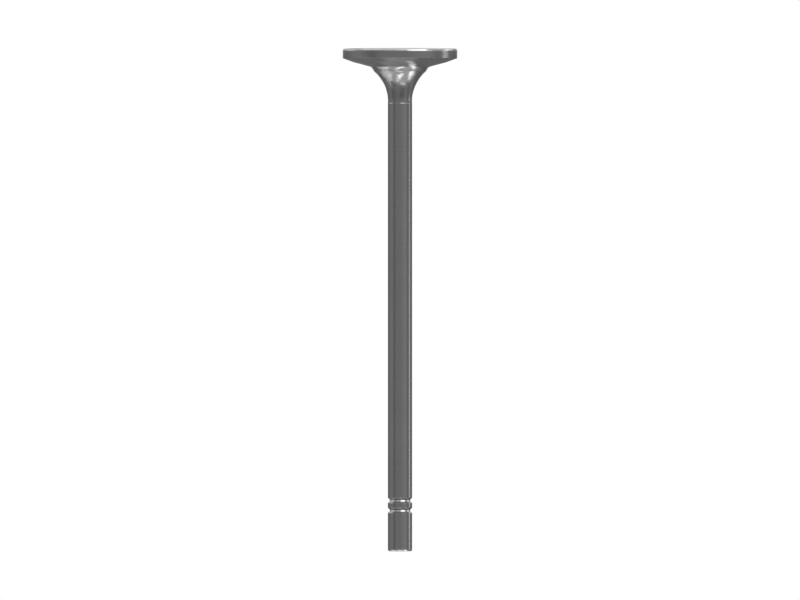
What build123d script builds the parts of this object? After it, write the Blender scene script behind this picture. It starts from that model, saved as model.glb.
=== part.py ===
from build123d import *
import os
from math import cos, radians, sqrt, tan

# Poppet valve for a diesel cylinder head, turned and ground from a single steel forging.
#
# The valve stands on the flat combustion face of its head, at z = 0, and its stem rises along +Z
# from the centre of that face. From the face upwards it has:
#   - the head: a short cylindrical margin, then the conical seat face, then a flatter cone behind it;
#   - the collar: a short steep cone that carries the back of the head into the neck;
#   - the neck: one large concave radius, which runs out a little under the size of the stem;
#   - the stem: ground straight and parallel, with a fine lead-in where the grinding starts;
#   - the keeper grooves near the tip, and the plain hardened tip that the valve gear pushes on.
# Lengths are in millimetres and angles in degrees.

# Whole valve
overall_length = 165.4
stem_diameter = 8.0
head_diameter = 37.7

# Head
margin_height = 3.15
face_edge_radius = 0.7
seat_angle = 20.0  # seat face, from the plane of the combustion face
seat_face_width = 3.1  # along the cone
seat_edge_break = 0.1
back_angle = 15.0  # back of the head, from the same plane
seat_blend_radius = 12.0  # eases the seat face into the back of the head

# Collar
collar_diameter = 18.9  # where its cone would meet the back of the head as a sharp corner
collar_angle = 56.5
collar_height = 1.7
collar_root_radius = 1.2

# Neck
neck_blend_radius = 13.0
neck_relief = 0.045  # the neck stays this far inside the ground stem, all round
lead_in_length = 0.5

# Keeper grooves and tip
groove_count = 2
groove_pitch = 3.3
groove_depth = 0.65
groove_root_width = 0.33
groove_flank_angle = 45.0  # each flank, from the line of the stem
groove_root_radius = 0.2
tip_to_first_groove = 13.5  # tip face to the middle of the nearest groove
tip_edge_radius = 0.65

# Worked out from the sizes above
head_radius = head_diameter / 2
stem_radius = stem_diameter / 2
neck_radius = stem_radius - neck_relief
seat_reach = seat_face_width * cos(radians(seat_angle))
back_reach = head_radius - seat_reach - collar_diameter / 2
groove_heights = [overall_length - tip_to_first_groove - n * groove_pitch for n in range(groove_count)]


def corner_at(sketch, point):
    """The corner of a sketch that lies at a point of its outline."""
    return sketch.vertices().sort_by_distance(point)[0]


with BuildPart() as valve:
    # The turned blank is half of the valve's section, spun round the stem's axis.
    with BuildSketch(Plane.XZ) as blank:
        with BuildLine():
            face = Line((0, 0), (head_radius, 0))
            margin = Line(face @ 1, (head_radius, margin_height))
            seat = PolarLine(margin @ 1, seat_face_width, 180 - seat_angle)
            back = PolarLine(seat @ 1, back_reach, 180 - back_angle, length_mode=LengthMode.HORIZONTAL)
            collar = PolarLine(back @ 1, collar_height, 180 - collar_angle, length_mode=LengthMode.VERTICAL)

            # The neck's centre is level with the point where the neck becomes parallel to the stem.
            neck_start = collar @ 1
            neck_centre_x = neck_radius + neck_blend_radius
            neck_rise = sqrt(neck_blend_radius**2 - (neck_centre_x - neck_start.X) ** 2)
            neck = RadiusArc(neck_start, (neck_radius, neck_start.Y + neck_rise), neck_blend_radius)

            lead_in = Line(neck @ 1, (stem_radius, (neck @ 1).Y + lead_in_length))
            stem = Line(lead_in @ 1, (stem_radius, overall_length))
            tip = Line(stem @ 1, (0, overall_length))
            Line(tip @ 1, face @ 0)
        make_face()
        fillet(corner_at(blank, face @ 1), radius=face_edge_radius)
        chamfer(corner_at(blank, margin @ 1), length=seat_edge_break)
        fillet(corner_at(blank, seat @ 1), radius=seat_blend_radius)
        fillet(corner_at(blank, back @ 1), radius=collar_root_radius)
        fillet(corner_at(blank, tip @ 0), radius=tip_edge_radius)
    revolve(axis=Axis.Z)

    # Each keeper groove is a trapezium with a rounded root, its open side level with the stem.
    with BuildSketch(Plane.XZ) as grooves:
        with Locations(*[(stem_radius - groove_depth, height) for height in groove_heights]):
            flank_run = groove_depth / tan(radians(groove_flank_angle))
            Trapezoid(
                groove_root_width + 2 * flank_run,
                groove_depth,
                groove_flank_angle,
                rotation=90,
                align=(Align.CENTER, Align.MAX),
            )
        fillet(grooves.vertices().group_by(Axis.X)[0], radius=groove_root_radius)
    revolve(axis=Axis.Z, mode=Mode.SUBTRACT)

valve.part.label = "valve"

os.makedirs("parts", exist_ok=True)
export_step(valve.part, "parts/valve.step")
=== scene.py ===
"""A diesel engine's poppet valve, standing on its head on a plain pale floor in a studio.

The valve is one turned and ground steel piece. Its section is drawn from named sizes and spun
round the stem, and its colour changes along its length: dull nitrided steel nearly everywhere,
near-white painted highlights and painted reflections on edges, flanks and slanting streaks, and
darker painted shade where the skin is rougher. The valve's own sizes are in millimetres, and
everything else is in metres.
"""

import logging
from dataclasses import dataclass, field, replace
from enum import Enum
from math import atan2, ceil, cos, degrees, hypot, pi, radians, sin, sqrt, tan

import bmesh
import bpy
from mathutils import Matrix, Vector, noise


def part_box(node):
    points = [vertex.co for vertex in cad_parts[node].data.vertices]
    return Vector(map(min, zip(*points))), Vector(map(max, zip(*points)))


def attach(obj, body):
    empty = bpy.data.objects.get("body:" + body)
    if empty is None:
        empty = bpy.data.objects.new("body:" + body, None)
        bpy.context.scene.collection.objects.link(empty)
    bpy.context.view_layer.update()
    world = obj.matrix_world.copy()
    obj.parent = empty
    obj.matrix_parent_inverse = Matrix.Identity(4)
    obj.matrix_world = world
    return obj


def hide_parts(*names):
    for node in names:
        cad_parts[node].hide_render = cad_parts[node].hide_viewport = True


MM = 0.001
LOG = logging.getLogger("valve")

Socket = bpy.types.NodeSocket
Vertex = bmesh.types.BMVert

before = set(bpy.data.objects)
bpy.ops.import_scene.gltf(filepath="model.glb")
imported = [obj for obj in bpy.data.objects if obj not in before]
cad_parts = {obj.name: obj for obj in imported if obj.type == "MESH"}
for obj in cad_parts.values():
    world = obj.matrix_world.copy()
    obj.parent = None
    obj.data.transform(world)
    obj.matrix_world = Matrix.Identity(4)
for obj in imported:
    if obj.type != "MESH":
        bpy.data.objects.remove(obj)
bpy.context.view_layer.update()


def facing(azimuth: float, elevation: float = 0.0) -> Vector:
    """The direction that lies so far round and above the side of the valve that the camera sees.

    Args:
        azimuth: degrees round the stem, from -Y towards -X.
        elevation: degrees above the floor.

    Returns:
        A unit vector that points away from the valve.
    """
    turn, rise = radians(azimuth), radians(elevation)
    return Vector((-sin(turn) * cos(rise), -cos(turn) * cos(rise), sin(rise)))


def azimuth_of(place: Vector) -> float:
    """The degrees round the stem at which a place lies, from -Y towards -X."""
    return degrees(atan2(-place.x, -place.y))


def window(value: float, low: float, high: float, soft: float) -> float:
    """One between two limits, and nothing well outside them.

    Args:
        value: the number that is placed between the limits.
        low: the lower limit.
        high: the upper limit.
        soft: the width of the smooth step that is centred on each limit.

    Returns:
        A share from 0 to 1.
    """
    inside = min(value - low, high - value) / soft + 0.5
    step = min(max(inside, 0.0), 1.0)
    return step * step * (3.0 - 2.0 * step)


def grey(tone: float) -> tuple[float, float, float, float]:
    """An opaque colour without a hue."""
    return (tone, tone, tone, 1.0)


class PaintedHighlight(Enum):
    """How strong a painted highlight is on a stretch of the valve, from the dull skin at 0 to near white
    at 1.
    """

    NONE = 0.0
    FAINT = 0.08
    LIGHT = 0.16
    STRONG = 0.55


class MattAndShade(Enum):
    """How much of its sheen a stretch of the skin has lost, from none at 0 to all at 1. The same share
    darkens its grey, as painted shade.
    """

    SLIGHT = 0.25
    MOST = 0.6
    FULL = 1.0


@dataclass(frozen=True)
class Spot:
    """A stretch round the stem, in degrees, where a mark is stronger than in the rest of its band.

    Its spread is its width at half of its strength.
    """

    azimuth: float
    spread: float
    strength: float

    def at(self, azimuth: float) -> float:
        """How strong the mark is at an azimuth."""
        away = abs((azimuth - self.azimuth + 180.0) % 360.0 - 180.0)
        return self.strength * window(away, -self.spread, self.spread / 2, self.spread / 3)


@dataclass(frozen=True)
class Band:
    """A ring of the valve's skin, in millimetres: between two heights and outside an inner radius."""

    low: float
    high: float
    inner: float = 0.0
    soft: float = 0.05

    def raised(self, base: float, inner: float = 0.0) -> "Band":
        """The same band with its heights measured from a base."""
        return replace(self, low=self.low + base, high=self.high + base, inner=inner)

    def share(self, radius: float, height: float) -> float:
        """One inside the band and nothing outside it."""
        return window(height, self.low, self.high, self.soft) * (radius >= self.inner)


@dataclass(frozen=True)
class MarkedBand:
    """A band with a mark all round it, whole or in breaks, and stronger spots of the same mark."""

    band: Band
    mark: PaintedHighlight | MattAndShade
    spots: tuple[Spot, ...] = ()
    breaks: float = 0.0
    breaks_per_metre: float = 520.0
    break_level: float = 0.08
    break_soft: float = 0.3

    def at(self, place: Vector) -> float:
        """How strong the mark is at a place.

        Args:
            place: a point on the skin, in metres.

        Returns:
            A strength from 0 to 1.
        """
        share = self.band.share(hypot(place.x, place.y) / MM, place.z / MM)
        if share == 0.0:
            return 0.0
        azimuth = azimuth_of(place)
        strength = max([self.mark.value, *(spot.at(azimuth) for spot in self.spots)])
        # Noise never falls below -1, so a lower limit of -2 leaves the window open below.
        pattern = noise.noise(place * self.breaks_per_metre)
        missing = window(pattern, -2.0, self.break_level, self.break_soft) * self.breaks
        return share * strength * (1.0 - missing)


@dataclass(frozen=True)
class Streak:
    """A slanting painted highlight streak on the back of the head or in the neck.

    Each pair holds a value where the streak starts and one where it ends: degrees round the stem,
    millimetres from its axis, and how bright the painted highlight is. Its width is in millimetres.
    """

    azimuths: tuple[float, float]
    radii: tuple[float, float]
    width: float
    painted_light: tuple[float, float]
    side_soft: float = 0.8
    fade_in: float = 0.15
    fade_soft: float = 0.3
    patch_level: float = 0.85
    patch_swing: float = 0.7
    patches_per_metre: float = 800.0

    def at(self, place: Vector) -> float:
        """How bright the streak's painted highlight is at a place.

        Args:
            place: a point on the skin, in metres.

        Returns:
            A brightness from 0 to 1.
        """
        radius = hypot(place.x, place.y) / MM
        along = (radius - self.radii[0]) / (self.radii[1] - self.radii[0])
        on_face = place.z < MM
        if on_face or not 0.0 <= along <= 1.0:
            return 0.0
        # The streak's brightness along its length is a painted highlight.
        middle, streak_highlight = (low + (high - low) * along for low, high in (self.azimuths, self.painted_light))
        away = radians(azimuth_of(place) - middle) * radius
        patchy = self.patch_level + self.patch_swing * noise.noise(place * self.patches_per_metre)
        across = window(away, -self.width / 2, self.width / 2, self.side_soft * self.width)
        # The upper limit lies past the end, so the streak keeps its strength there.
        return streak_highlight * patchy * across * window(along, self.fade_in, 2.0, self.fade_soft)


@dataclass
class TurnedSection:
    """Half of a turned piece's section: a run of edges from the axis outwards, up and back to the axis."""

    mesh: bmesh.types.BMesh = field(default_factory=bmesh.new)
    pen: Vertex | None = None
    weld_distance: float = 1e-6
    sharp_corner: float = 38.0

    def start(self, radius: float, height: float) -> Vertex:
        """Put the pen down at a radius and height, in millimetres."""
        self.pen = self.mesh.verts.new((radius * MM, 0.0, height * MM))
        return self.pen

    def line(self, radius: float, height: float) -> Vertex:
        """Draw a straight run.

        Args:
            radius: the end's distance from the axis, in millimetres.
            height: the end's height above the floor, in millimetres.

        Returns:
            The end of the run.
        """
        made = bmesh.ops.extrude_vert_indiv(self.mesh, verts=[self.pen])
        self.pen = made["verts"][0]
        self.pen.co = Vector((radius * MM, 0.0, height * MM))
        return self.pen

    def arc(self, centre_radius: float, centre_height: float, turn: float, steps: int) -> Vertex:
        """Draw an arc about a centre, in millimetres.

        Args:
            centre_radius: the centre's distance from the axis.
            centre_height: the centre's height above the floor.
            turn: the angle turned through in degrees, positive from +Z towards +X.
            steps: the number of equal edges in the arc.

        Returns:
            The end of the arc.
        """
        made = bmesh.ops.spin(
            self.mesh,
            geom=[self.pen],
            cent=(centre_radius * MM, 0.0, centre_height * MM),
            axis=(0.0, 1.0, 0.0),
            dvec=(0.0, 0.0, 0.0),
            angle=radians(turn),
            steps=steps,
            use_merge=False,
            use_normal_flip=False,
            use_duplicate=False,
        )
        self.pen = made["geom_last"][0]
        return self.pen

    def round_off(self, corner: Vertex, radius: float, steps: int) -> None:
        """Round a corner of the section.

        Args:
            corner: the sharp corner.
            radius: the radius it gets, in millimetres.
            steps: the number of edges in the round.
        """
        first, second = (edge.other_vert(corner).co - corner.co for edge in corner.link_edges)
        turn = pi - first.angle(second)
        bmesh.ops.bevel(
            self.mesh,
            geom=[corner],
            offset=radius * MM * tan(turn / 2),
            offset_type="OFFSET",
            segments=steps,
            profile=0.5,
            affect="VERTICES",
            clamp_overlap=False,
            material=-1,
        )

    def divide(self, longest: float, outside: float = -1.0) -> None:
        """Divide the long edges of the section.

        Args:
            longest: the greatest length that an edge keeps, in millimetres.
            outside: only edges that reach farther from the axis than this are divided.
        """
        for edge in self.mesh.edges[:]:
            if max(vertex.co.x for vertex in edge.verts) <= outside * MM:
                continue
            cuts = ceil(edge.calc_length() / (longest * MM)) - 1
            if cuts > 0:
                bmesh.ops.subdivide_edges(self.mesh, edges=[edge], cuts=cuts, use_grid_fill=False)

    def spin(self, segments: int) -> None:
        """Spin the section once round the Z axis into a closed skin whose faces point outwards.

        Args:
            segments: the number of equal steps round the axis.
        """
        bmesh.ops.spin(
            self.mesh,
            geom=self.mesh.verts[:] + self.mesh.edges[:],
            cent=(0.0, 0.0, 0.0),
            axis=(0.0, 0.0, 1.0),
            dvec=(0.0, 0.0, 0.0),
            angle=2 * pi,
            steps=segments,
            use_merge=True,
            use_normal_flip=False,
            use_duplicate=False,
        )
        bmesh.ops.remove_doubles(self.mesh, verts=self.mesh.verts[:], dist=self.weld_distance)
        bmesh.ops.recalc_face_normals(self.mesh, faces=self.mesh.faces[:])
        self.mesh.normal_update()

    def finish(self, name: str) -> bpy.types.Object:
        """Turn the spun skin into an object with smooth faces and sharp corners.

        Args:
            name: the name of the new object and its mesh.

        Returns:
            The new object, in the scene.
        """
        data = bpy.data.meshes.new(name)
        self.mesh.to_mesh(data)
        self.mesh.free()
        data.shade_smooth()
        data.set_sharp_from_angle(angle=radians(self.sharp_corner))
        piece = bpy.data.objects.new(name, data)
        bpy.context.scene.collection.objects.link(piece)
        return piece


@dataclass(frozen=True)
class Recipe:
    """A short way to put nodes into a material's or a world's tree and join them up."""

    tree: bpy.types.NodeTree

    def node(self, kind: str, settings: dict | None = None, **inputs: object) -> bpy.types.Node:
        """Add a node.

        Args:
            kind: the node's type, without its prefix for shader nodes.
            settings: the node's own properties, by name.
            **inputs: a value or another node's socket for each input, by name with _ for a space,
                or by number as in_0, in_1 and so on.

        Returns:
            The new node.
        """
        made = self.tree.nodes.new("ShaderNode" + kind)
        for name, value in (settings or {}).items():
            setattr(made, name, value)
        for name, value in inputs.items():
            by_number = name.startswith("in_")
            key = int(name.removeprefix("in_")) if by_number else name.replace("_", " ")
            if isinstance(value, Socket):
                self.tree.links.new(value, made.inputs[key])
            else:
                made.inputs[key].default_value = value
        return made

    def math(self, operation: str, first: object, second: object = 0.0, clamp: bool = False) -> Socket:
        """The result of one sum on two numbers or sockets."""
        settings = {"operation": operation, "use_clamp": clamp}
        return self.node("Math", settings, in_0=first, in_1=second).outputs[0]

    def noise(self, places: Socket, per_metre: float, detail: float) -> Socket:
        """Soft random spots, from 0 to 1."""
        made = self.node("TexNoise", {"normalize": True}, Vector=places, Scale=per_metre, Detail=detail)
        return made.outputs["Fac"]

    def step(self, value: Socket, low: float, high: float, to_low: float, to_high: float) -> Socket:
        """Carry a value smoothly from one range to another.

        Args:
            value: the value to carry.
            low: the start of its range.
            high: the end of its range.
            to_low: the start of the new range.
            to_high: the end of the new range.

        Returns:
            The value in the new range.
        """
        smooth = {"interpolation_type": "SMOOTHSTEP"}
        made = self.node("MapRange", smooth, in_0=value, in_1=low, in_2=high, in_3=to_low, in_4=to_high)
        return made.outputs[0]

    def scaled(self, value: Socket, low: float, high: float) -> Socket:
        """Carry a value from 0 to 1 straight to a range."""
        return self.node("MapRange", None, in_0=value, in_3=low, in_4=high).outputs[0]

    def between(self, share: Socket, first: object, second: object) -> Socket:
        """A number that runs from the first to the second as the share runs from 0 to 1."""
        made = self.node("Mix", {"data_type": "FLOAT"}, in_0=share, in_2=first, in_3=second)
        return made.outputs[0]

    def layered(self, share: Socket, under: Socket, over: Socket) -> Socket:
        """A shader that runs from one to another as the share runs from 0 to 1."""
        return self.node("MixShader", None, in_0=share, in_1=under, in_2=over).outputs[0]


@dataclass(frozen=True)
class Mottle:
    """A soft random change of some property of the steel.

    It holds the number of spots in a metre, how finely they break up, how far the change swings
    to each side, and the value that it swings about.
    """

    per_metre: float
    detail: float
    swing: float
    middle: float = 0.0

    def on(self, recipe: Recipe, places: Socket) -> Socket:
        """The change at each of the places."""
        spots = recipe.noise(places, self.per_metre, self.detail)
        return recipe.scaled(spots, self.middle - self.swing, self.middle + self.swing)


@dataclass(frozen=True)
class SkinSockets:
    """What the steel reads at a point: its place, its place along the section, its painted highlight, and
    its lost sheen with painted shade.
    """

    place: Socket
    rings: Socket
    painted_highlight: Socket
    matt_and_shade: Socket


@dataclass(frozen=True)
class NitridedSteel:
    """Hardened valve steel with a dull grey nitrided skin, near-white painted highlights and reflections,
    and darker painted shade.
    """

    skin: float = 0.127
    painted_highlight_tone: float = 0.95
    skin_roughness: float = 0.21
    highlight_roughness: float = 0.34
    highlight_gain: float = 4.0
    painted_shade_tone: float = 0.64
    matt_roughness: float = 0.6
    edge_tint: float = 0.6
    clouds: Mottle = Mottle(95.0, 2.0, 0.07)
    grain: Mottle = Mottle(2600.0, 3.0, 0.07)
    tool_marks: Mottle = Mottle(3300.0, 2.0, 0.07)
    gloss_patches: Mottle = Mottle(420.0, 3.0, 0.035)
    gloss_rings: Mottle = Mottle(5200.0, 2.0, 0.03)
    mark_spots: Mottle = Mottle(1500.0, 3.0, 0.3, middle=1.0)
    ring_stretch: float = 0.03
    line_depth: float = 0.0000016
    lines_per_metre: float = 7000.0
    grains_per_metre: float = 5200.0
    bump_detail: float = 2.0
    grain_share: float = 0.35

    def material(self, name: str) -> bpy.types.Material:
        """Make the steel's material.

        Args:
            name: the name of the new material.

        Returns:
            A material that reads the valve's own marks, and lays its lines round the stem.
        """
        made = bpy.data.materials.new(name)
        made.use_nodes = True
        made.node_tree.nodes.clear()
        recipe = Recipe(made.node_tree)
        place = recipe.node("TexCoord").outputs["Object"]
        skin = SkinSockets(
            place=place,
            rings=self.ring_places(recipe, place),
            painted_highlight=self.marked(recipe, place, "painted_highlight"),
            matt_and_shade=self.marked(recipe, place, "matt_and_shade"),
        )
        shader = recipe.node(
            "BsdfPrincipled",
            None,
            Base_Color=self.colour(recipe, skin),
            Roughness=self.gloss(recipe, skin),
            Metallic=1.0,
            Specular_Tint=grey(self.edge_tint),
            Normal=self.tool_lines(recipe, skin),
        )
        recipe.node("OutputMaterial", None, Surface=shader.outputs[0])
        return made

    def ring_places(self, recipe: Recipe, place: Socket) -> Socket:
        """Places that hardly change round the stem, but change along the section as a turning tool moves.

        Args:
            recipe: the material's nodes.
            place: each point's own place.

        Returns:
            The stretched places.
        """
        parts = recipe.node("SeparateXYZ", None, in_0=place).outputs
        squares = [recipe.math("POWER", parts[axis], 2.0) for axis in (0, 1)]
        radius = recipe.math("SQRT", recipe.math("ADD", *squares))
        along = recipe.math("SUBTRACT", parts[2], radius)
        across = [recipe.math("MULTIPLY", parts[axis], self.ring_stretch) for axis in (0, 1)]
        return recipe.node("CombineXYZ", None, in_0=across[0], in_1=across[1], in_2=along).outputs[0]

    def marked(self, recipe: Recipe, place: Socket, mark: str) -> Socket:
        """A mark from the mesh, with a little of it lost and found in fine spots.

        Args:
            recipe: the material's nodes.
            place: each point's own place.
            mark: the name of the mesh's layer.

        Returns:
            The mark's strength.
        """
        value = recipe.node("Attribute", {"attribute_name": mark}).outputs["Fac"]
        return recipe.math("MULTIPLY", value, self.mark_spots.on(recipe, place), clamp=True)

    def colour(self, recipe: Recipe, skin: SkinSockets) -> Socket:
        """The skin's mottled grey, darker as painted shade where it has lost its sheen, and near white
        where painted highlights and reflections are set.

        Args:
            recipe: the material's nodes.
            skin: what the steel reads at each point.

        Returns:
            The base colour.
        """
        clouds = self.clouds.on(recipe, skin.place)
        grain = self.grain.on(recipe, skin.place)
        lines = self.tool_marks.on(recipe, skin.rings)
        change = recipe.math("ADD", recipe.math("ADD", clouds, grain), lines)
        # Where the skin has lost its sheen the grey turns darker: painted shade.
        tone = recipe.scaled(skin.matt_and_shade, self.skin, self.skin * self.painted_shade_tone)
        dull = recipe.math("MULTIPLY", recipe.math("ADD", change, 1.0), tone)
        # Painted highlights and painted reflections run the grey up to near white.
        mixed = recipe.between(skin.painted_highlight, dull, self.painted_highlight_tone)
        return recipe.node("CombineColor", None, in_0=mixed, in_1=mixed, in_2=mixed).outputs[0]

    def gloss(self, recipe: Recipe, skin: SkinSockets) -> Socket:
        """Roughness that varies in patches and rings, and rises under painted highlights and where the
        skin has lost its sheen.

        Args:
            recipe: the material's nodes.
            skin: what the steel reads at each point.

        Returns:
            The roughness.
        """
        patches = self.gloss_patches.on(recipe, skin.place)
        rings = self.gloss_rings.on(recipe, skin.rings)
        highlight_share = recipe.math("MULTIPLY", skin.painted_highlight, self.highlight_gain, clamp=True)
        base = recipe.between(highlight_share, self.skin_roughness, self.highlight_roughness)
        rough = recipe.between(skin.matt_and_shade, base, self.matt_roughness)
        return recipe.math("ADD", rough, recipe.math("ADD", patches, rings), clamp=True)

    def tool_lines(self, recipe: Recipe, skin: SkinSockets) -> Socket:
        """The normals of fine turned and ground lines round the stem, with a trace of grain.

        Args:
            recipe: the material's nodes.
            skin: what the steel reads at each point.

        Returns:
            The normal.
        """
        lines = recipe.noise(skin.rings, self.lines_per_metre, self.bump_detail)
        grain = recipe.noise(skin.place, self.grains_per_metre, self.bump_detail)
        height = recipe.math("ADD", lines, recipe.math("MULTIPLY", grain, self.grain_share))
        return recipe.node("Bump", None, Strength=1.0, Distance=self.line_depth, Height=height).outputs[0]


@dataclass(frozen=True)
class ForgingWaves:
    """The faint waves of a forging that was finished by polishing and not turned, in millimetres."""

    height: float = 0.06
    start: tuple[float, float, float] = (36.1, -36.8, -22.8)
    waves_per_metre: float = 420.0
    ripples_per_metre: float = 950.0
    ripple_share: float = 0.4
    fade: float = 1.5
    neck_share: float = 0.72

    def at(self, place: Vector) -> float:
        """How far the skin stands out at a place, as a share of the waves' height.

        Args:
            place: a point on the skin, in metres.

        Returns:
            A share that is negative in a hollow.
        """
        spot = place + Vector(self.start) * MM
        ripple = noise.noise(spot * self.ripples_per_metre)
        return noise.noise(spot * self.waves_per_metre) + self.ripple_share * ripple


@dataclass(frozen=True)
class PaintedLightPattern:
    """Where the valve's skin gets painted highlights and reflections, and where it loses its sheen and
    gets painted shade, in millimetres and degrees.

    Heights are measured from the floor, but those of the back from the top of the seat face, those
    of the tip's edge from the tip, and those of a groove from its mouth or its middle.
    """

    crisp: float = 0.1
    face_edge: Band = Band(0.0, 0.3, soft=0.06)
    face_edge_share: float = 0.6
    edge: Band = Band(0.33, 0.68, soft=0.06)
    # Each spot on the head's edge is a painted highlight.
    edge_spots: tuple[Spot, ...] = (
        Spot(17.5, 22.0, 1.0),
        Spot(60.0, 17.0, 0.68),
        Spot(-36.0, 84.0, 0.47),
        Spot(2.0, 14.0, 0.55),
        Spot(-57.0, 18.0, 0.8),
        Spot(142.0, 26.0, 0.9),
        Spot(-118.0, 14.0, 0.6),
        Spot(180.0, 80.0, 0.34),
    )
    edge_top: Band = Band(0.68, 0.92, soft=0.04)
    edge_top_spots: tuple[Spot, ...] = (
        Spot(18.0, 21.0, 1.0),
        Spot(4.0, 18.0, 0.25),
        Spot(30.0, 9.0, 0.4),
        Spot(-63.0, 12.0, 0.12),
        Spot(-8.0, 16.0, 0.16),
        Spot(53.0, 11.0, 0.36),
        Spot(42.0, 12.0, 0.12),
        Spot(150.0, 40.0, 0.3),
    )
    margin_start: float = 0.9
    margin_spots: tuple[Spot, ...] = (Spot(53.0, 8.0, 0.085),)
    seat_overlaps: tuple[float, float] = (0.1, 0.3)
    seat_soft: float = 0.3
    seat_spots: tuple[Spot, ...] = (
        Spot(0.0, 34.0, 0.075),
        Spot(130.0, 70.0, 0.06),
        Spot(-120.0, 50.0, 0.05),
    )
    back: Band = Band(0.0, 1.7, soft=0.4)
    back_spots: tuple[Spot, ...] = (
        Spot(-4.0, 44.0, 0.08),
        Spot(150.0, 40.0, 0.1),
        Spot(-95.0, 60.0, 0.05),
    )
    # The two streaks are painted highlights.
    back_streak: Streak = Streak(azimuths=(8.0, 25.0), radii=(16.9, 9.6), width=2.3, painted_light=(0.24, 0.55))
    neck_streak: Streak = Streak(azimuths=(6.0, 13.0), radii=(5.75, 5.08), width=1.3, painted_light=(0.14, 0.2))
    neck: Band = Band(12.6, 16.4, soft=1.3)
    # Spots of painted shade in the neck, which also turn rougher.
    neck_shade_spots: tuple[Spot, ...] = (
        Spot(-33.0, 14.0, 0.75),
        Spot(9.0, 24.0, 0.85),
        Spot(36.0, 20.0, 0.5),
        Spot(150.0, 60.0, 0.6),
    )
    lead_in: Band = Band(17.78, 18.08, soft=0.03)
    lead_in_breaks: float = 0.7
    lead_in_spots: tuple[Spot, ...] = (
        Spot(14.0, 24.0, 0.5),
        Spot(-50.0, 18.0, 0.34),
        Spot(150.0, 60.0, 0.3),
    )
    groove_flank: tuple[float, float] = (0.03, 0.1)
    groove_hollow_start: float = 0.05
    # Painted glints in the groove hollows.
    groove_highlight_spots: tuple[Spot, ...] = (
        Spot(16.0, 25.0, 1.0),
        Spot(54.0, 20.0, 0.5),
        Spot(-52.0, 34.0, 0.4),
        Spot(-8.0, 30.0, 0.25),
        Spot(121.0, 40.0, 0.8),
        Spot(-140.0, 30.0, 0.7),
    )
    groove_rim: tuple[float, float] = (0.2, 0.05)
    rim_spots: tuple[Spot, ...] = (
        Spot(-54.0, 44.0, 0.7),
        Spot(62.0, 26.0, 0.7),
        Spot(160.0, 60.0, 0.4),
    )
    tip_edge: Band = Band(-0.5, -0.05)
    tip_spots: tuple[Spot, ...] = (
        Spot(26.0, 14.0, 0.3),
        Spot(-150.0, 40.0, 0.2),
    )

    def painted_highlight(self, valve: "PoppetValve") -> list[MarkedBand | Streak]:
        """Where painted highlights and painted reflections brighten the skin.

        Args:
            valve: the valve whose sizes place the bands.

        Returns:
            The bands and streaks of painted highlight, with those of the grooves last.
        """
        face_edge_inner = valve.head_radius - self.face_edge_share * valve.face_edge_radius
        margin = Band(self.margin_start, valve.margin_height, soft=self.crisp)
        seat_start, seat_end = self.seat_overlaps
        seat = Band(valve.margin_height + seat_start, valve.seat_top + seat_end, soft=self.seat_soft)
        back = self.back.raised(valve.seat_top, inner=valve.collar_radius)
        tip_edge = self.tip_edge.raised(valve.length, inner=valve.stem_radius - valve.tip_edge_radius)
        # Painted highlights and painted reflections, band by band.
        places: list[MarkedBand | Streak] = [
            MarkedBand(replace(self.face_edge, inner=face_edge_inner), PaintedHighlight.STRONG),
            MarkedBand(self.edge, PaintedHighlight.LIGHT, self.edge_spots),
            MarkedBand(self.edge_top, PaintedHighlight.FAINT, self.edge_top_spots),
            MarkedBand(margin, PaintedHighlight.NONE, self.margin_spots),
            MarkedBand(seat, PaintedHighlight.NONE, self.seat_spots),
            MarkedBand(back, PaintedHighlight.NONE, self.back_spots),
            MarkedBand(self.lead_in, PaintedHighlight.LIGHT, self.lead_in_spots, self.lead_in_breaks),
            MarkedBand(tip_edge, PaintedHighlight.FAINT, self.tip_spots),
            self.back_streak,
            self.neck_streak,
        ]
        rim_below, rim_above = self.groove_rim
        for height in valve.groove_heights:
            mouth = height + valve.groove_half_mouth
            hollow = Band(height - self.groove_hollow_start, mouth - rim_below, soft=self.crisp)
            rim = Band(mouth - rim_below, mouth + rim_above, soft=self.crisp)
            places.append(MarkedBand(hollow, PaintedHighlight.LIGHT, self.groove_highlight_spots))
            places.append(MarkedBand(rim, PaintedHighlight.LIGHT, self.rim_spots))
        return places

    def matt_and_shade(self, valve: "PoppetValve") -> list[MarkedBand]:
        """Where the skin has lost its sheen and is darkened as painted shade.

        Args:
            valve: the valve whose sizes place the bands.

        Returns:
            The bands without sheen: the back of the head, the neck, and the head side of each groove.
        """
        back_end = self.back.raised(valve.seat_top).high
        head_back = Band(valve.margin_height, back_end, valve.collar_radius, self.crisp)
        places = [
            # Less sheen and a darker grey; the darkening is painted shade.
            MarkedBand(head_back, MattAndShade.FULL),
            MarkedBand(self.neck, MattAndShade.SLIGHT, self.neck_shade_spots),
        ]
        below_mouth, below_middle = self.groove_flank
        for height in valve.groove_heights:
            flank = Band(height - valve.groove_half_mouth - below_mouth, height - below_middle)
            places.append(MarkedBand(flank, MattAndShade.MOST))
        return places


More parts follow.
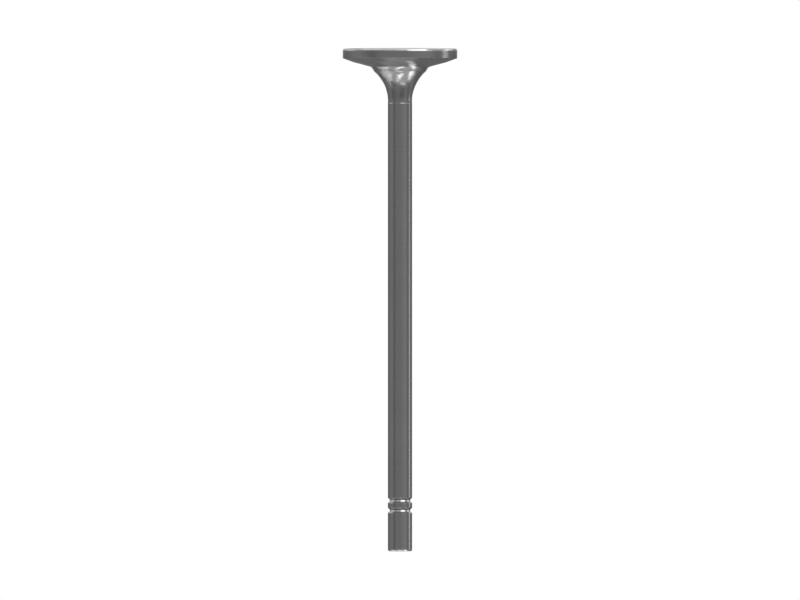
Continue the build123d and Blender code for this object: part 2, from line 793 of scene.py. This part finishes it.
@dataclass
class PoppetValve:
    """The valve: head, seat face, collar, neck, stem and keeper grooves, in millimetres and degrees."""

    length: float = 165.4
    stem_diameter: float = 8.0
    head_diameter: float = 37.7
    margin_height: float = 3.15
    face_edge_radius: float = 0.7
    seat_angle: float = 20.0
    seat_width: float = 3.9
    seat_edge_break: float = 0.1
    back_angle: float = 15.0
    seat_blend_radius: float = 12.0
    collar_diameter: float = 19.26
    collar_lean: float = 46.0
    collar_hollow_radius: float = 5.4
    collar_hollow_sweep: float = 16.0
    collar_root_radius: float = 0.35
    shoulder_diameter: float = 16.96
    shoulder_radius: float = 0.9
    neck_radius: float = 13.0
    neck_relief: float = 0.045
    lead_in: float = 0.5
    lead_in_break: float = 0.3
    groove_count: int = 2
    groove_pitch: float = 3.3
    groove_depth: float = 0.65
    groove_root_width: float = 0.33
    groove_root_radius: float = 0.2
    groove_hollow_radius: float = 1.0
    groove_hollow_sweep: float = 35.0
    groove_edge_break: float = 0.02
    tip_to_first_groove: float = 13.5
    tip_edge_radius: float = 0.65
    # Extra rings of points end the marks of the skin cleanly at these distances from an edge.
    face_edge_rings: tuple[float, ...] = (0.2, 0.24)
    ground_rings: tuple[float, ...] = (0.0, 0.14, 0.26)
    groove_ring_below: float = 0.1
    groove_ring_above: float = 0.2
    longest_edge: float = 1.6
    longest_head_edge: float = 0.25
    head_clearance: float = 0.001
    segments: int = 192
    waves: ForgingWaves = ForgingWaves()
    painted_light: PaintedLightPattern = PaintedLightPattern()
    steel: NitridedSteel = NitridedSteel()

    @property
    def head_radius(self) -> float:
        """Half the head's diameter."""
        return self.head_diameter / 2

    @property
    def stem_radius(self) -> float:
        """Half the stem's diameter."""
        return self.stem_diameter / 2

    @property
    def collar_radius(self) -> float:
        """Half the diameter of the collar's root."""
        return self.collar_diameter / 2

    @property
    def seat_top(self) -> float:
        """The height at which the seat face meets the back of the head."""
        return self.margin_height + self.seat_width * sin(radians(self.seat_angle))

    @property
    def groove_half_mouth(self) -> float:
        """Half the width of a groove's mouth, whose flanks stand at 45 degrees."""
        return self.groove_root_width / 2 + self.groove_depth

    @property
    def groove_heights(self) -> list[float]:
        """The heights of the grooves' middles, from the lowest up."""
        first = self.length - self.tip_to_first_groove
        return [first - number * self.groove_pitch for number in reversed(range(self.groove_count))]

    def build(self) -> bpy.types.Object:
        """Draw the section, spin it, and give the skin its waves, its marks and its steel.

        Returns:
            The valve, as one object.
        """
        section = TurnedSection()
        self.draw_head(section)
        self.draw_neck(section)
        self.draw_grooves(section)
        self.draw_tip(section)
        section.divide(self.longest_head_edge, outside=self.stem_radius + self.head_clearance)
        section.divide(self.longest_edge)
        section.spin(self.segments)
        self.leave_forging_waves(section.mesh)
        self.mark_skin(section.mesh)
        valve = section.finish("poppet_valve")
        valve.data.materials.append(self.steel.material("nitrided valve steel"))
        return valve

    def draw_head(self, section: TurnedSection) -> None:
        """Draw the combustion face, the margin, the seat face, the back of the head and the collar.

        Args:
            section: the empty section.
        """
        section.start(0.0, 0.0)
        face_edge = section.line(self.head_radius, 0.0)
        for above in self.face_edge_rings:
            section.line(self.head_radius, self.face_edge_radius + above)
        seat_edge = section.line(self.head_radius, self.margin_height)
        seat_end_radius = self.head_radius - self.seat_width * cos(radians(self.seat_angle))
        seat_end = section.line(seat_end_radius, self.seat_top)
        rise = (seat_end_radius - self.collar_radius) * tan(radians(self.back_angle))
        collar_root = section.line(self.collar_radius, self.seat_top + rise)
        self.draw_collar(section, self.seat_top + rise)
        section.round_off(face_edge, self.face_edge_radius, steps=10)
        section.round_off(seat_edge, self.seat_edge_break, steps=2)
        section.round_off(seat_end, self.seat_blend_radius, steps=6)
        section.round_off(collar_root, self.collar_root_radius, steps=6)

    def draw_collar(self, section: TurnedSection, root_height: float) -> None:
        """Draw the collar's hollow side and the short cone that ends at the shoulder.

        Args:
            section: the section, up to the collar's root.
            root_height: the height of the collar's root.
        """
        lean = radians(self.collar_lean)
        hollow_radius = self.collar_radius + self.collar_hollow_radius * cos(lean)
        hollow_height = root_height + self.collar_hollow_radius * sin(lean)
        hollow_end = section.arc(hollow_radius, hollow_height, self.collar_hollow_sweep, steps=6).co / MM
        top_lean = radians(self.collar_lean - self.collar_hollow_sweep)
        shoulder = self.shoulder_diameter / 2
        section.line(shoulder, hollow_end.z + (hollow_end.x - shoulder) / tan(top_lean))

    def draw_neck(self, section: TurnedSection) -> None:
        """Draw the hollow of the neck and the lead-in to the ground stem.

        Args:
            section: the section, up to the shoulder.
        """
        shoulder = section.pen
        start = shoulder.co / MM
        end_radius = self.stem_radius - self.neck_relief
        centre_radius = end_radius + self.neck_radius
        rise = sqrt(self.neck_radius**2 - (centre_radius - start.x) ** 2)
        sweep = degrees(atan2(rise, centre_radius - start.x))
        neck_end = section.arc(centre_radius, start.z + rise, sweep, steps=52).co / MM
        ground_start = neck_end.z + self.lead_in
        break_radius = self.stem_radius - self.lead_in_break * self.neck_relief
        section.line(break_radius, ground_start - self.lead_in_break * self.lead_in)
        for above in self.ground_rings:
            section.line(self.stem_radius, ground_start + above)
        section.round_off(shoulder, self.shoulder_radius, steps=4)

    def draw_grooves(self, section: TurnedSection) -> None:
        """Draw the stem up to the keeper grooves, and each groove with its hollow tip side.

        Args:
            section: the section, up to the start of the ground stem.
        """
        half_root = self.groove_root_width / 2
        half_mouth = self.groove_half_mouth
        root_radius = self.stem_radius - self.groove_depth
        hollow_radius = root_radius + self.groove_hollow_radius
        for height in self.groove_heights:
            section.line(self.stem_radius, height - half_mouth - self.groove_ring_below)
            lower_edge = section.line(self.stem_radius, height - half_mouth)
            root = section.line(root_radius, height - half_root)
            section.line(root_radius, height)
            section.arc(hollow_radius, height, self.groove_hollow_sweep, steps=8)
            upper_edge = section.line(self.stem_radius, height + half_mouth)
            section.line(self.stem_radius, height + half_mouth + self.groove_ring_above)
            for edge in (lower_edge, upper_edge):
                section.round_off(edge, self.groove_edge_break, steps=2)
            section.round_off(root, self.groove_root_radius, steps=4)

    def draw_tip(self, section: TurnedSection) -> None:
        """Draw the end of the stem and the hardened tip face.

        Args:
            section: the section, up to the last groove.
        """
        tip_edge = section.line(self.stem_radius, self.length)
        section.line(0.0, self.length)
        section.round_off(tip_edge, self.tip_edge_radius, steps=10)

    def leave_forging_waves(self, mesh: bmesh.types.BMesh) -> None:
        """Give the collar and the neck the waves of their forging.

        Args:
            mesh: the spun skin.
        """
        start = self.margin_height + self.seat_width
        end = start + self.neck_radius * self.waves.neck_share
        for vertex in mesh.verts:
            share = window(vertex.co.z / MM, start, end, self.waves.fade)
            if share > 0.0 and hypot(vertex.co.x, vertex.co.y) > self.stem_radius * MM:
                wave = self.waves.at(vertex.co)
                vertex.co += vertex.normal * wave * share * self.waves.height * MM
        mesh.normal_update()

    def mark_skin(self, mesh: bmesh.types.BMesh) -> None:
        """Write each part of the skin's share of painted highlight, and of lost sheen with painted shade,
        into the mesh.

        Args:
            mesh: the spun skin.
        """
        # One layer of painted highlights and reflections, and one of lost sheen with painted shade.
        patterns = {"painted_highlight": self.painted_light.painted_highlight(self), "matt_and_shade": self.painted_light.matt_and_shade(self)}
        for name, places in patterns.items():
            layer = mesh.verts.layers.float.new(name)
            for vertex in mesh.verts:
                vertex[layer] = max(marked.at(vertex.co) for marked in places)


@dataclass(frozen=True)
class Softbox:
    """A soft lamp that faces the valve, with its size and its distance from it in metres."""

    name: str
    azimuth: float
    elevation: float
    width: float
    height: float
    radiance: float
    distance: float = 1.5
    turn: float = 0.0
    round: bool = False

    def hang(self, aim: Vector) -> bpy.types.Object:
        """Put the lamp in place.

        Args:
            aim: the point that it faces.

        Returns:
            The lamp.
        """
        area = self.width * self.height * (pi / 4 if self.round else 1.0)
        light = bpy.data.lights.new(self.name, "AREA")
        light.shape = "ELLIPSE" if self.round else "RECTANGLE"
        light.size, light.size_y = self.width, self.height
        light.energy = self.radiance * pi * area
        lamp = bpy.data.objects.new(self.name, light)
        towards = facing(self.azimuth, self.elevation)
        place = Matrix.Translation(aim + towards * self.distance)
        tilt = towards.to_track_quat("Z", "Y").to_matrix().to_4x4()
        lamp.matrix_world = place @ tilt @ Matrix.Rotation(radians(self.turn), 4, "Z")
        lamp.visible_camera = False
        bpy.context.scene.collection.objects.link(lamp)
        return lamp


@dataclass(frozen=True)
class WallTone:
    """How light the studio's wall is in one direction round the valve."""

    azimuth: float
    tone: float

    @property
    def stop(self) -> float:
        """Where the direction lies on a radial gradient, which starts at -X and turns towards -Y."""
        return (0.25 - self.azimuth / 360.0) % 1.0


@dataclass
class Studio:
    """The floor, the pale walls and the lamps."""

    floor_radius: float = 4.0
    floor_sides: int = 96
    floor_drop: float = 0.00002
    floor_colour: float = 0.82
    floor_roughness: float = 0.85
    floor_shine: float = 0.2
    floor_glow: float = 0.78
    glow_reach: tuple[float, float] = (0.15, 0.7)
    fill: float = 0.35
    walls: tuple[WallTone, ...] = (
        WallTone(110.0, 1.0),
        WallTone(103.0, 1.5),
        WallTone(95.0, 1.05),
        WallTone(78.0, 0.8),
        WallTone(70.0, 1.0),
        WallTone(61.0, 1.26),
        WallTone(34.0, 1.24),
        WallTone(15.0, 1.05),
        WallTone(-25.0, 1.02),
        WallTone(-39.0, 1.06),
        WallTone(-52.0, 0.65),
        WallTone(-62.0, 0.74),
        WallTone(-74.0, 1.14),
        WallTone(-90.0, 1.13),
        WallTone(-115.0, 1.0),
        WallTone(-150.0, 0.64),
        WallTone(180.0, 0.85),
        WallTone(145.0, 0.6),
        WallTone(125.0, 0.9),
    )
    lamps: tuple[Softbox, ...] = (
        Softbox("ceiling softbox", 0.0, 90.0, 2.6, 2.6, 1.1, round=True),
        Softbox("overhead lamp", 3.5, 80.5, 0.17, 0.57, 9.0, distance=1.3, turn=44.0),
        Softbox("front lamp", -25.0, 62.0, 0.2, 0.3, 3.2, distance=1.3, turn=15.0),
        Softbox("right lamp", 115.0, 60.2, 0.46, 0.19, 9.5, distance=1.4, turn=-9.0),
        Softbox("right front lamp", 90.0, 52.4, 0.36, 0.2, 4.0, distance=1.4, turn=-51.0),
        Softbox("left lamp", -119.0, 50.0, 1.35, 0.65, 1.75, distance=1.4),
        Softbox("left front lamp", -105.0, 62.0, 0.53, 0.12, 2.2, distance=1.4, turn=50.0),
        Softbox("right strip lamp", 102.5, 0.5, 0.38, 0.4, 2.1),
    )

    def build(self, aim: Vector) -> None:
        """Lay the floor, light the walls and hang the lamps.

        Args:
            aim: the point that the lamps face.
        """
        self.lay_floor()
        self.light_walls()
        for lamp in self.lamps:
            lamp.hang(aim)

    def lay_floor(self) -> bpy.types.Object:
        """Make the round floor under the valve.

        Returns:
            The floor, just below the face of the head.
        """
        mesh = bmesh.new()
        bmesh.ops.create_circle(
            mesh, cap_ends=True, cap_tris=False, segments=self.floor_sides, radius=self.floor_radius
        )
        bmesh.ops.translate(mesh, verts=mesh.verts[:], vec=(0.0, 0.0, -self.floor_drop))
        data = bpy.data.meshes.new("studio floor")
        mesh.to_mesh(data)
        mesh.free()
        data.materials.append(self.floor_material())
        floor = bpy.data.objects.new("studio floor", data)
        bpy.context.scene.collection.objects.link(floor)
        return floor

    def floor_material(self) -> bpy.types.Material:
        """Make pale paint without sheen that runs into a white backdrop.

        The camera sees the paint under the valve and white farther out, and metal mirrors the
        walls in the floor's place.

        Returns:
            The paint.
        """
        made = bpy.data.materials.new("pale floor paint")
        made.use_nodes = True
        made.node_tree.nodes.clear()
        recipe = Recipe(made.node_tree)
        paint = recipe.node(
            "BsdfPrincipled", None, Base_Color=grey(self.floor_colour), Roughness=self.floor_roughness
        )
        paint.inputs["Specular IOR Level"].default_value = self.floor_shine
        white = recipe.node("Emission", None, Color=grey(1.0), Strength=1.0)
        place = recipe.node("TexCoord").outputs["Object"]
        away = recipe.node("VectorMath", {"operation": "LENGTH"}, in_0=place).outputs["Value"]
        glow = recipe.step(away, *self.glow_reach, self.floor_glow, 1.0)
        backdrop = recipe.layered(glow, paint.outputs[0], white.outputs[0])
        walls = recipe.node("Emission", None, Color=self.wall_tones(recipe, place), Strength=1.0)
        ray = recipe.node("LightPath").outputs
        mirrored = recipe.math("MAXIMUM", ray["Is Glossy Ray"], ray["Is Transmission Ray"])
        seen = recipe.layered(ray["Is Camera Ray"], paint.outputs[0], backdrop)
        mix = recipe.layered(mirrored, seen, walls.outputs[0])
        recipe.node("OutputMaterial", None, Surface=mix)
        return made

    def wall_tones(self, recipe: Recipe, direction: Socket) -> Socket:
        """How light the studio looks in each direction round the valve.

        Args:
            recipe: the nodes of a material or of the world.
            direction: the direction from the valve.

        Returns:
            The wall's colour.
        """
        round_angle = recipe.node("TexGradient", {"gradient_type": "RADIAL"}, Vector=direction)
        ramp = recipe.node("ValToRGB", None, Fac=round_angle.outputs["Fac"])
        stops = sorted((wall.stop, wall.tone) for wall in self.walls)
        elements = ramp.color_ramp.elements
        for position, _ in stops[len(elements):]:
            elements.new(position)
        for element, (position, tone) in zip(elements, stops):
            element.position = position
            element.color = grey(tone)
        return ramp.outputs[0]

    def light_walls(self) -> None:
        """Make the world: white to the camera, pale walls in reflections, and a low fill on the rest."""
        world = bpy.data.worlds.new("studio walls")
        bpy.context.scene.world = world
        world.use_nodes = True
        world.node_tree.nodes.clear()
        recipe = Recipe(world.node_tree)
        tones = self.wall_tones(recipe, recipe.node("TexCoord").outputs["Generated"])
        ray = recipe.node("LightPath").outputs
        mirrored = recipe.math("MAXIMUM", ray["Is Glossy Ray"], ray["Is Transmission Ray"])
        walls = recipe.node("Background", None, Color=tones, Strength=1.0)
        fill = recipe.node("Background", None, Color=grey(1.0), Strength=self.fill)
        white = recipe.node("Background", None, Color=grey(1.0), Strength=1.0)
        seen = recipe.layered(mirrored, fill.outputs[0], walls.outputs[0])
        shown = recipe.layered(ray["Is Camera Ray"], seen, white.outputs[0])
        recipe.node("OutputWorld", None, Surface=shown)


@dataclass
class StudioCamera:
    """A long lens, all but level with the floor, held upside down so that the valve's head is at the top.

    Its sizes are in metres and its elevation is in degrees.
    """

    picture_width: float = 0.26326
    middle_height: float = 0.08270
    elevation: float = 0.7
    distance: float = 1.2
    nearest: float = 0.01
    farthest: float = 20.0

    def place(self) -> bpy.types.Object:
        """Put the camera in front of the valve.

        Returns:
            The camera, which the scene now uses.
        """
        data = bpy.data.cameras.new("studio camera")
        data.type = "ORTHO"
        data.ortho_scale = self.picture_width
        data.clip_start, data.clip_end = self.nearest, self.farthest
        camera = bpy.data.objects.new("studio camera", data)
        back = facing(0.0, self.elevation)
        across = Vector((-1.0, 0.0, 0.0))
        turned = Matrix((across, back.cross(across), back)).transposed().to_4x4()
        aim = Vector((0.0, 0.0, self.middle_height))
        camera.matrix_world = Matrix.Translation(aim + back * self.distance) @ turned
        bpy.context.scene.collection.objects.link(camera)
        bpy.context.scene.camera = camera
        return camera


def main() -> None:
    """Build the valve, the studio and the camera."""
    logging.basicConfig(level=logging.INFO, format="%(message)s")
    valve = PoppetValve().build()
    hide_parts("valve")
    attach(valve, "root")
    LOG.info("poppet valve: %d faces", len(valve.data.polygons))

    low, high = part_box("valve")
    studio = Studio()
    studio.build(aim=(low + high) / 2)
    LOG.info("studio: %d lamps", len(studio.lamps))

    camera = StudioCamera().place()
    LOG.info("camera: %.3f m wide", camera.data.ortho_scale)
    bpy.context.scene.view_settings.view_transform = "Standard"


if __name__ == "__main__":
    main()
